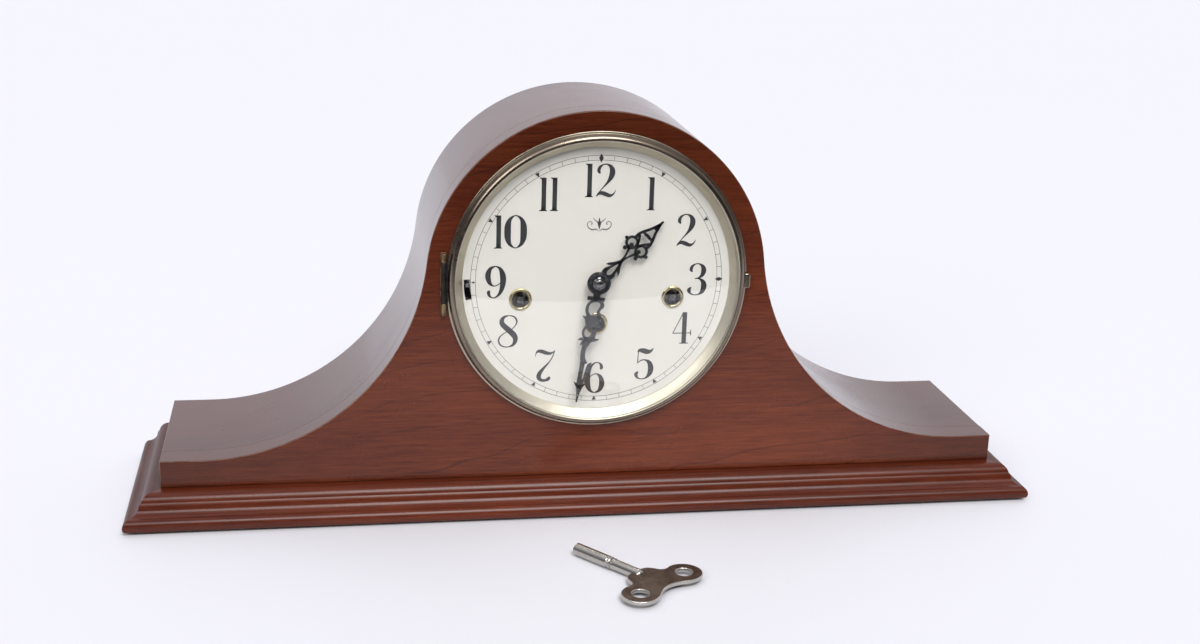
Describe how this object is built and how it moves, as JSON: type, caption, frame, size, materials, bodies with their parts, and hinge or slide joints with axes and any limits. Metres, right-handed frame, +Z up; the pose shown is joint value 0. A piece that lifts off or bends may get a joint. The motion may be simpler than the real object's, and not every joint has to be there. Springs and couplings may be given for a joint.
{
  "type": "mantel clock",
  "caption": "Tambour mantel clock with arched wooden case, moulded base, hinged domed bezel, ornate hands, chiming movement and winding key.",
  "frame": {"origin": "middle of the base footprint, on the underside of the base felt", "axes": "+X to the viewer's right along the case, +Y to the back, +Z up; the dial faces -Y"},
  "size_m": [0.5184, 0.2367, 0.2289],
  "materials": {
    "case_wood": "reddish brown lacquered veneer with fine grain, gloss",
    "base_wood": "reddish brown lacquered hardwood moulding, gloss",
    "back_wood": "thin plywood, brown stain, satin",
    "felt": "dark green felt",
    "hinge_brass": "polished",
    "aged_brass": "aged and lacquered, dull on the outside",
    "reflector": "polished pale gold",
    "dark_steel": "dark, satin",
    "glass": "clear domed glass",
    "dial_enamel": "off-white, satin, black printing",
    "black_lacquer": "black, gloss",
    "bright_steel": "fine brushed",
    "movement_brass": "polished",
    "key_nickel": "nickel plate, tarnished",
    "block_iron": "dark paint",
    "rod_bronze": "drawn bronze rod"
  },
  "bodies": {
    "case": {"front_panel": "case_wood", "top_wrap": "case_wood", "base_board": "base_wood", "moulding_front": "base_wood", "moulding_left": "base_wood", "moulding_right": "base_wood", "base_felt": "felt", "back_panel": "back_wood", "door_leaves": "hinge_brass", "bezel_leaf": "aged_brass", "dial_plate": "dial_enamel", "grommets": "aged_brass", "front_plate": "movement_brass", "back_plate": "movement_brass", "pillars": "movement_brass", "brackets": "bright_steel", "bracket_screws": "bright_steel", "balance_bridge": "bright_steel", "hammer_bracket": "bright_steel", "chime_rods": "rod_bronze", "rod_block": "block_iron"},
    "rear_door": {"rear_door": "back_wood", "door_flaps": "hinge_brass"},
    "door_button": {"door_button": "hinge_brass"},
    "bezel": {"bezel_ring": "aged_brass", "bezel_knuckle": "dark_steel", "bezel_reflector": "reflector", "bezel_glass": "glass"},
    "minute_arbor": {"minute_hand": "black_lacquer", "hand_nut": "dark_steel", "cannon_pinion": "movement_brass", "centre_wheel": "movement_brass"},
    "hour_pipe": {"hour_hand": "black_lacquer", "hour_wheel": "movement_brass"},
    "minute_wheel": {"minute_wheel": "movement_brass"},
    "time_barrel": {"time_barrel": "movement_brass"},
    "time_arbor": {"time_arbor": "bright_steel"},
    "second_wheel": {"second_wheel": "movement_brass"},
    "third_wheel": {"third_wheel": "movement_brass"},
    "escape_wheel": {"escape_wheel": "movement_brass"},
    "pallet_lever": {"pallet_lever": "bright_steel"},
    "balance_wheel": {"balance_wheel": "movement_brass"},
    "strike_barrel": {"strike_barrel": "movement_brass"},
    "strike_arbor": {"strike_arbor": "bright_steel"},
    "strike_wheel": {"strike_wheel": "movement_brass"},
    "strike_fly": {"strike_fly": "bright_steel"},
    "chime_barrel": {"chime_barrel": "movement_brass"},
    "chime_arbor": {"chime_arbor": "bright_steel"},
    "chime_wheel": {"chime_wheel": "movement_brass"},
    "chime_fly": {"chime_fly": "bright_steel"},
    "chime_drum": {"chime_drum": "movement_brass"},
    "click_time": {"click_time": "bright_steel"},
    "click_strike": {"click_strike": "bright_steel"},
    "click_chime": {"click_chime": "bright_steel"},
    "hammer_1": {"hammer_1": "movement_brass"},
    "hammer_2": {"hammer_2": "movement_brass"},
    "hammer_3": {"hammer_3": "movement_brass"},
    "hammer_4": {"hammer_4": "movement_brass"},
    "silent_lever": {"silent_lever": "bright_steel"},
    "winding_key": {"winding_key": "key_nickel"}
  },
  "joints": [
    {"name": "bezel_hinge", "type": "hinge", "parent": "case", "child": "bezel", "pos_m": [-0.0852, -0.044, 0.1338], "axis": [0, 0, -1], "range_deg": [0, 110]},
    {"name": "door_hinge", "type": "hinge", "parent": "case", "child": "rear_door", "pos_m": [-0.069, 0.0597, 0.1338], "axis": [0, 0, 1], "range_deg": [0, 120]},
    {"name": "button_turn", "type": "hinge", "parent": "case", "child": "door_button", "pos_m": [0.074, 0.0581, 0.1338], "axis": [0, 1, 0], "range_deg": [-90, 0]},
    {"name": "minute_turn", "type": "hinge", "parent": "case", "child": "minute_arbor", "pos_m": [0, 0, 0.1338], "axis": [0, 1, 0], "continuous": true},
    {"name": "hour_turn", "type": "hinge", "parent": "case", "child": "hour_pipe", "pos_m": [0, 0, 0.1338], "axis": [0, 1, 0], "continuous": true},
    {"name": "minute_wheel_turn", "type": "hinge", "parent": "case", "child": "minute_wheel", "pos_m": [0, 0, 0.1488], "axis": [0, 1, 0], "continuous": true},
    {"name": "second_turn", "type": "hinge", "parent": "case", "child": "second_wheel", "pos_m": [0.01645, 0, 0.12648], "axis": [0, 1, 0], "continuous": true},
    {"name": "time_barrel_turn", "type": "hinge", "parent": "case", "child": "time_barrel", "pos_m": [0, 0, 0.109], "axis": [0, 1, 0], "continuous": true},
    {"name": "third_turn", "type": "hinge", "parent": "case", "child": "third_wheel", "pos_m": [-0.01344, 0, 0.14724], "axis": [0, 1, 0], "continuous": true},
    {"name": "escape_turn", "type": "hinge", "parent": "case", "child": "escape_wheel", "pos_m": [-0.00443, 0, 0.16282], "axis": [0, 1, 0], "continuous": true},
    {"name": "pallet_rock", "type": "hinge", "parent": "case", "child": "pallet_lever", "pos_m": [0.00817, 0, 0.16282], "axis": [0, 1, 0], "range_deg": [-4, 4]},
    {"name": "balance_swing", "type": "hinge", "parent": "case", "child": "balance_wheel", "pos_m": [0.02016, 0, 0.16282], "axis": [0, 1, 0], "range_deg": [-120, 120], "stiffness_Nm_per_rad": 0.000025},
    {"name": "time_winding", "type": "hinge", "parent": "case", "child": "time_arbor", "pos_m": [0, 0, 0.109], "axis": [0, 1, 0], "continuous": true},
    {"name": "strike_barrel_turn", "type": "hinge", "parent": "case", "child": "strike_barrel", "pos_m": [-0.0428, 0, 0.1237], "axis": [0, 1, 0], "continuous": true},
    {"name": "strike_winding", "type": "hinge", "parent": "case", "child": "strike_arbor", "pos_m": [-0.0428, 0, 0.1237], "axis": [0, 1, 0], "continuous": true},
    {"name": "strike_wheel_turn", "type": "hinge", "parent": "case", "child": "strike_wheel", "pos_m": [-0.03659, 0, 0.14688], "axis": [0, 1, 0], "continuous": true},
    {"name": "strike_fly_turn", "type": "hinge", "parent": "case", "child": "strike_fly", "pos_m": [-0.03193, 0, 0.16427], "axis": [0, 1, 0], "continuous": true},
    {"name": "chime_barrel_turn", "type": "hinge", "parent": "case", "child": "chime_barrel", "pos_m": [0.0428, 0, 0.1237], "axis": [0, 1, 0], "continuous": true},
    {"name": "chime_winding", "type": "hinge", "parent": "case", "child": "chime_arbor", "pos_m": [0.0428, 0, 0.1237], "axis": [0, 1, 0], "continuous": true},
    {"name": "chime_wheel_turn", "type": "hinge", "parent": "case", "child": "chime_wheel", "pos_m": [0.03659, 0, 0.14688], "axis": [0, 1, 0], "continuous": true},
    {"name": "chime_fly_turn", "type": "hinge", "parent": "case", "child": "chime_fly", "pos_m": [0.03193, 0, 0.16427], "axis": [0, 1, 0], "continuous": true},
    {"name": "chime_drum_turn", "type": "hinge", "parent": "case", "child": "chime_drum", "pos_m": [0.03659, 0, 0.12888], "axis": [0, 1, 0], "continuous": true},
    {"name": "click_time_lift", "type": "hinge", "parent": "case", "child": "click_time", "pos_m": [0.0105, 0, 0.105], "axis": [0, 1, 0], "range_deg": [0, 10], "stiffness_Nm_per_rad": 0.00005},
    {"name": "click_strike_lift", "type": "hinge", "parent": "case", "child": "click_strike", "pos_m": [-0.0323, 0, 0.1197], "axis": [0, 1, 0], "range_deg": [0, 10], "stiffness_Nm_per_rad": 0.00005},
    {"name": "click_chime_lift", "type": "hinge", "parent": "case", "child": "click_chime", "pos_m": [0.0533, 0, 0.1197], "axis": [0, 1, 0], "range_deg": [0, 10], "stiffness_Nm_per_rad": 0.00005},
    {"name": "hammer_1_swing", "type": "hinge", "parent": "case", "child": "hammer_1", "pos_m": [0.03, 0, 0.0938], "axis": [0, 1, 0], "range_deg": [-1.4, 12], "stiffness_Nm_per_rad": 0.05, "springref_deg": 2.52},
    {"name": "hammer_2_swing", "type": "hinge", "parent": "case", "child": "hammer_2", "pos_m": [0.03, 0, 0.0938], "axis": [0, 1, 0], "range_deg": [-1.4, 12], "stiffness_Nm_per_rad": 0.05, "springref_deg": 2.52},
    {"name": "hammer_3_swing", "type": "hinge", "parent": "case", "child": "hammer_3", "pos_m": [0.03, 0, 0.0938], "axis": [0, 1, 0], "range_deg": [-1.4, 12], "stiffness_Nm_per_rad": 0.05, "springref_deg": 2.52},
    {"name": "hammer_4_swing", "type": "hinge", "parent": "case", "child": "hammer_4", "pos_m": [0.03, 0, 0.0938], "axis": [0, 1, 0], "range_deg": [-1.4, 12], "stiffness_Nm_per_rad": 0.05, "springref_deg": 2.52},
    {"name": "silent_lever_shift", "type": "hinge", "parent": "case", "child": "silent_lever", "pos_m": [-0.024, 0, 0.1348], "axis": [0, -1, 0], "range_deg": [0, 8]},
    {"name": "key_lift", "type": "slide", "parent": "case", "child": "winding_key", "axis": [0, 0, 1], "range_m": [0, 0.1]}
  ],
  "couplings": [
    {"joint": "hour_turn", "follows": "minute_turn", "ratio": 0.083333},
    {"joint": "minute_wheel_turn", "follows": "minute_turn", "ratio": -0.33333},
    {"joint": "second_turn", "follows": "minute_turn", "ratio": -0.2},
    {"joint": "time_barrel_turn", "follows": "minute_turn", "ratio": 0.035294},
    {"joint": "third_turn", "follows": "minute_turn", "ratio": -5.3333},
    {"joint": "escape_turn", "follows": "minute_turn", "ratio": 26.667},
    {"joint": "strike_wheel_turn", "follows": "strike_barrel_turn", "ratio": -5.6667},
    {"joint": "strike_fly_turn", "follows": "strike_barrel_turn", "ratio": 28.333},
    {"joint": "chime_wheel_turn", "follows": "chime_barrel_turn", "ratio": -5.6667},
    {"joint": "chime_fly_turn", "follows": "chime_barrel_turn", "ratio": 28.333},
    {"joint": "chime_drum_turn", "follows": "chime_barrel_turn", "ratio": 1.8889}
  ]
}
